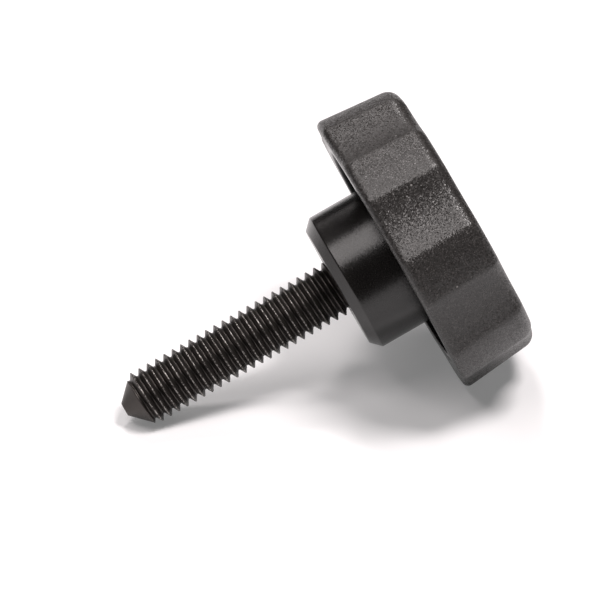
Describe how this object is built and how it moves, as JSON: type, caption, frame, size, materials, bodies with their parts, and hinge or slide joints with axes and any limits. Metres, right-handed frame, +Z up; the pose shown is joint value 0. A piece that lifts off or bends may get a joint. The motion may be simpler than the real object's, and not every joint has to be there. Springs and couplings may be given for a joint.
{
  "type": "mixer attachment knob",
  "caption": "Hand knob with a lobed rim, a hollow back and a stepped hub that carries a threaded cone-point stud, for clamping an attachment to a mixer.",
  "frame": {"origin": "middle of the part's box at floor level, with the part lying as it comes to rest", "axes": "+X from the cone point towards the knob, level; +Z up; the stud's axis lies in the XZ plane and climbs by 22.5 degrees from the point to the knob"},
  "size_m": [0.0688, 0.0494, 0.049],
  "materials": {
    "knob_plastic": "black moulded plastic with a fine spark-eroded grain",
    "stud_steel": "black oxide steel with an oily sheen, brighter on the thread crests"
  },
  "bodies": {
    "root": {"knob": "knob_plastic", "threaded_stud": "stud_steel"}
  },
  "joints": []
}
